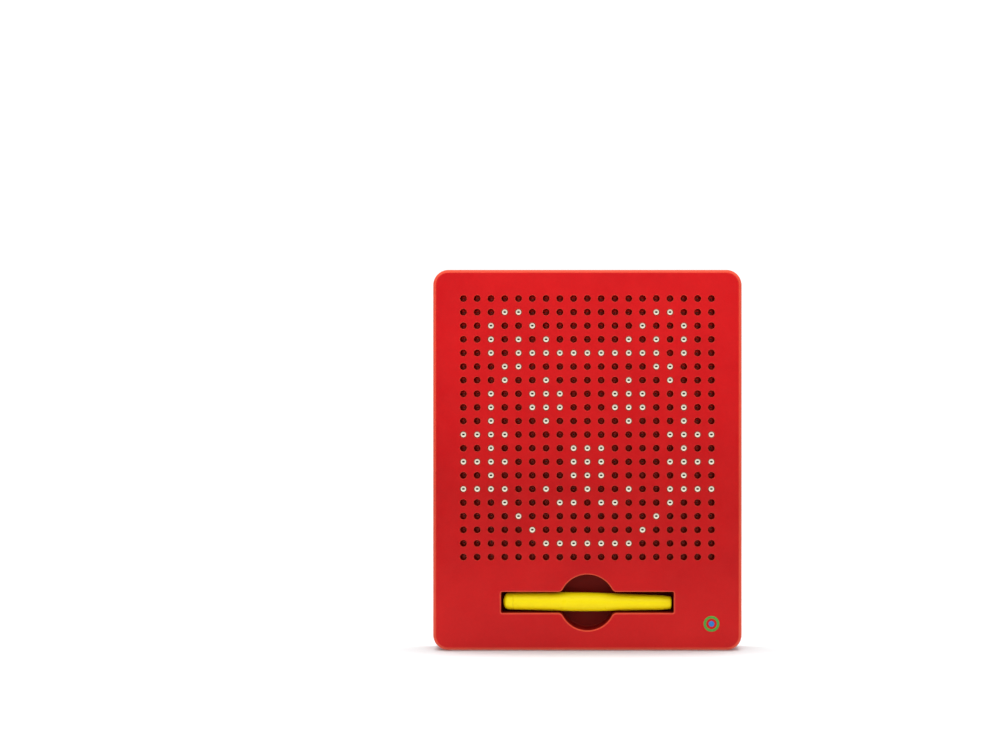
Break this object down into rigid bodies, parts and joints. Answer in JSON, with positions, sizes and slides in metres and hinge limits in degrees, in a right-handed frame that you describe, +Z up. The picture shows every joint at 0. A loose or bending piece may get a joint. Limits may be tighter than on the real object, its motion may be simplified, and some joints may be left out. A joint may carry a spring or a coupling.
{
  "type": "magnetic bead drawing board",
  "caption": "Flat rounded drawing board with a grid of steel beads behind round holes, and a magnetic stylus lying in a pocket with a round finger notch.",
  "frame": {"origin": "centre of the bottom edge, half way through the whole thickness with its proud beads", "axes": "+Z up the board from its bottom edge, +X to the right as its face is looked at, +Y from the face to the back, so the face looks along -Y"},
  "size_m": [0.1796, 0.0166, 0.2214],
  "materials": {
    "red_plastic": "satin moulded, fine even grain",
    "red_plastic_back": "fine moulded grain, a little duller than the face",
    "inner_plastic": "dark moulded, unpolished",
    "yellow_plastic": "smooth gloss",
    "bead_steel": "polished bright",
    "magnet": "nickel plated",
    "screw_steel": "zinc plated"
  },
  "bodies": {
    "board": {"front_shell": "red_plastic", "bead_grid": "inner_plastic", "rear_cover": "red_plastic_back", "screw_01": "screw_steel", "screw_02": "screw_steel", "screw_03": "screw_steel", "screw_04": "screw_steel", "screw_05": "screw_steel", "screw_06": "screw_steel", "screw_07": "screw_steel", "screw_08": "screw_steel"},
    "stylus": {"stylus_barrel": "yellow_plastic", "stylus_end_cap": "yellow_plastic", "stylus_magnet": "magnet", "stylus_magnet_plug": "inner_plastic"},
    "bead_13_01": {"bead_13_01": "bead_steel"},
    "bead_13_02": {"bead_13_02": "bead_steel"},
    "bead_13_03": {"bead_13_03": "bead_steel"},
    "bead_13_04": {"bead_13_04": "bead_steel"},
    "bead_13_05": {"bead_13_05": "bead_steel"},
    "bead_13_06": {"bead_13_06": "bead_steel"},
    "bead_13_07": {"bead_13_07": "bead_steel"},
    "bead_13_08": {"bead_13_08": "bead_steel"},
    "bead_13_09": {"bead_13_09": "bead_steel"},
    "bead_13_10": {"bead_13_10": "bead_steel"},
    "bead_13_11": {"bead_13_11": "bead_steel"},
    "bead_13_12": {"bead_13_12": "bead_steel"},
    "bead_13_13": {"bead_13_13": "bead_steel"},
    "bead_13_14": {"bead_13_14": "bead_steel"},
    "bead_13_15": {"bead_13_15": "bead_steel"},
    "bead_13_16": {"bead_13_16": "bead_steel"},
    "bead_13_17": {"bead_13_17": "bead_steel"},
    "bead_13_18": {"bead_13_18": "bead_steel"},
    "bead_13_19": {"bead_13_19": "bead_steel"},
    "bead_15_01": {"bead_15_01": "bead_steel"},
    "bead_15_02": {"bead_15_02": "bead_steel"},
    "bead_15_03": {"bead_15_03": "bead_steel"},
    "bead_15_04": {"bead_15_04": "bead_steel"},
    "bead_15_05": {"bead_15_05": "bead_steel"},
    "bead_15_06": {"bead_15_06": "bead_steel"},
    "bead_15_07": {"bead_15_07": "bead_steel"},
    "bead_15_08": {"bead_15_08": "bead_steel"},
    "bead_15_09": {"bead_15_09": "bead_steel"},
    "bead_15_10": {"bead_15_10": "bead_steel"},
    "bead_15_11": {"bead_15_11": "bead_steel"},
    "bead_15_12": {"bead_15_12": "bead_steel"},
    "bead_15_13": {"bead_15_13": "bead_steel"},
    "bead_15_14": {"bead_15_14": "bead_steel"},
    "bead_15_15": {"bead_15_15": "bead_steel"},
    "bead_15_16": {"bead_15_16": "bead_steel"},
    "bead_15_17": {"bead_15_17": "bead_steel"},
    "bead_15_18": {"bead_15_18": "bead_steel"},
    "bead_15_19": {"bead_15_19": "bead_steel"}
  },
  "joints": [
    {"name": "stylus_lift", "type": "slide", "parent": "board", "child": "stylus", "axis": [0, -1, 0], "range_m": [0, 0.035]},
    {"name": "bead_13_01_push", "type": "slide", "parent": "board", "child": "bead_13_01", "axis": [0, 1, 0], "range_m": [0, 0.00475]},
    {"name": "bead_13_02_push", "type": "slide", "parent": "board", "child": "bead_13_02", "axis": [0, 1, 0], "range_m": [0, 0.00475]},
    {"name": "bead_13_03_push", "type": "slide", "parent": "board", "child": "bead_13_03", "axis": [0, 1, 0], "range_m": [0, 0.00475]},
    {"name": "bead_13_04_push", "type": "slide", "parent": "board", "child": "bead_13_04", "axis": [0, 1, 0], "range_m": [0, 0.00475]},
    {"name": "bead_13_05_push", "type": "slide", "parent": "board", "child": "bead_13_05", "axis": [0, 1, 0], "range_m": [-0.00475, 0]},
    {"name": "bead_13_06_push", "type": "slide", "parent": "board", "child": "bead_13_06", "axis": [0, 1, 0], "range_m": [-0.00475, 0]},
    {"name": "bead_13_07_push", "type": "slide", "parent": "board", "child": "bead_13_07", "axis": [0, 1, 0], "range_m": [-0.00475, 0]},
    {"name": "bead_13_08_push", "type": "slide", "parent": "board", "child": "bead_13_08", "axis": [0, 1, 0], "range_m": [-0.00475, 0]},
    {"name": "bead_13_09_push", "type": "slide", "parent": "board", "child": "bead_13_09", "axis": [0, 1, 0], "range_m": [0, 0.00475]},
    {"name": "bead_13_10_push", "type": "slide", "parent": "board", "child": "bead_13_10", "axis": [0, 1, 0], "range_m": [0, 0.00475]},
    {"name": "bead_13_11_push", "type": "slide", "parent": "board", "child": "bead_13_11", "axis": [0, 1, 0], "range_m": [0, 0.00475]},
    {"name": "bead_13_12_push", "type": "slide", "parent": "board", "child": "bead_13_12", "axis": [0, 1, 0], "range_m": [-0.00475, 0]},
    {"name": "bead_13_13_push", "type": "slide", "parent": "board", "child": "bead_13_13", "axis": [0, 1, 0], "range_m": [-0.00475, 0]},
    {"name": "bead_13_14_push", "type": "slide", "parent": "board", "child": "bead_13_14", "axis": [0, 1, 0], "range_m": [-0.00475, 0]},
    {"name": "bead_13_15_push", "type": "slide", "parent": "board", "child": "bead_13_15", "axis": [0, 1, 0], "range_m": [-0.00475, 0]},
    {"name": "bead_13_16_push", "type": "slide", "parent": "board", "child": "bead_13_16", "axis": [0, 1, 0], "range_m": [0, 0.00475]},
    {"name": "bead_13_17_push", "type": "slide", "parent": "board", "child": "bead_13_17", "axis": [0, 1, 0], "range_m": [0, 0.00475]},
    {"name": "bead_13_18_push", "type": "slide", "parent": "board", "child": "bead_13_18", "axis": [0, 1, 0], "range_m": [0, 0.00475]},
    {"name": "bead_13_19_push", "type": "slide", "parent": "board", "child": "bead_13_19", "axis": [0, 1, 0], "range_m": [0, 0.00475]},
    {"name": "bead_15_01_push", "type": "slide", "parent": "board", "child": "bead_15_01", "axis": [0, 1, 0], "range_m": [0, 0.00475]},
    {"name": "bead_15_02_push", "type": "slide", "parent": "board", "child": "bead_15_02", "axis": [0, 1, 0], "range_m": [0, 0.00475]},
    {"name": "bead_15_03_push", "type": "slide", "parent": "board", "child": "bead_15_03", "axis": [0, 1, 0], "range_m": [0, 0.00475]},
    {"name": "bead_15_04_push", "type": "slide", "parent": "board", "child": "bead_15_04", "axis": [0, 1, 0], "range_m": [0, 0.00475]},
    {"name": "bead_15_05_push", "type": "slide", "parent": "board", "child": "bead_15_05", "axis": [0, 1, 0], "range_m": [-0.00475, 0]},
    {"name": "bead_15_06_push", "type": "slide", "parent": "board", "child": "bead_15_06", "axis": [0, 1, 0], "range_m": [-0.00475, 0]},
    {"name": "bead_15_07_push", "type": "slide", "parent": "board", "child": "bead_15_07", "axis": [0, 1, 0], "range_m": [0, 0.00475]},
    {"name": "bead_15_08_push", "type": "slide", "parent": "board", "child": "bead_15_08", "axis": [0, 1, 0], "range_m": [-0.00475, 0]},
    {"name": "bead_15_09_push", "type": "slide", "parent": "board", "child": "bead_15_09", "axis": [0, 1, 0], "range_m": [-0.00475, 0]},
    {"name": "bead_15_10_push", "type": "slide", "parent": "board", "child": "bead_15_10", "axis": [0, 1, 0], "range_m": [0, 0.00475]},
    {"name": "bead_15_11_push", "type": "slide", "parent": "board", "child": "bead_15_11", "axis": [0, 1, 0], "range_m": [-0.00475, 0]},
    {"name": "bead_15_12_push", "type": "slide", "parent": "board", "child": "bead_15_12", "axis": [0, 1, 0], "range_m": [-0.00475, 0]},
    {"name": "bead_15_13_push", "type": "slide", "parent": "board", "child": "bead_15_13", "axis": [0, 1, 0], "range_m": [0, 0.00475]},
    {"name": "bead_15_14_push", "type": "slide", "parent": "board", "child": "bead_15_14", "axis": [0, 1, 0], "range_m": [-0.00475, 0]},
    {"name": "bead_15_15_push", "type": "slide", "parent": "board", "child": "bead_15_15", "axis": [0, 1, 0], "range_m": [-0.00475, 0]},
    {"name": "bead_15_16_push", "type": "slide", "parent": "board", "child": "bead_15_16", "axis": [0, 1, 0], "range_m": [0, 0.00475]},
    {"name": "bead_15_17_push", "type": "slide", "parent": "board", "child": "bead_15_17", "axis": [0, 1, 0], "range_m": [0, 0.00475]},
    {"name": "bead_15_18_push", "type": "slide", "parent": "board", "child": "bead_15_18", "axis": [0, 1, 0], "range_m": [0, 0.00475]},
    {"name": "bead_15_19_push", "type": "slide", "parent": "board", "child": "bead_15_19", "axis": [0, 1, 0], "range_m": [0, 0.00475]}
  ]
}
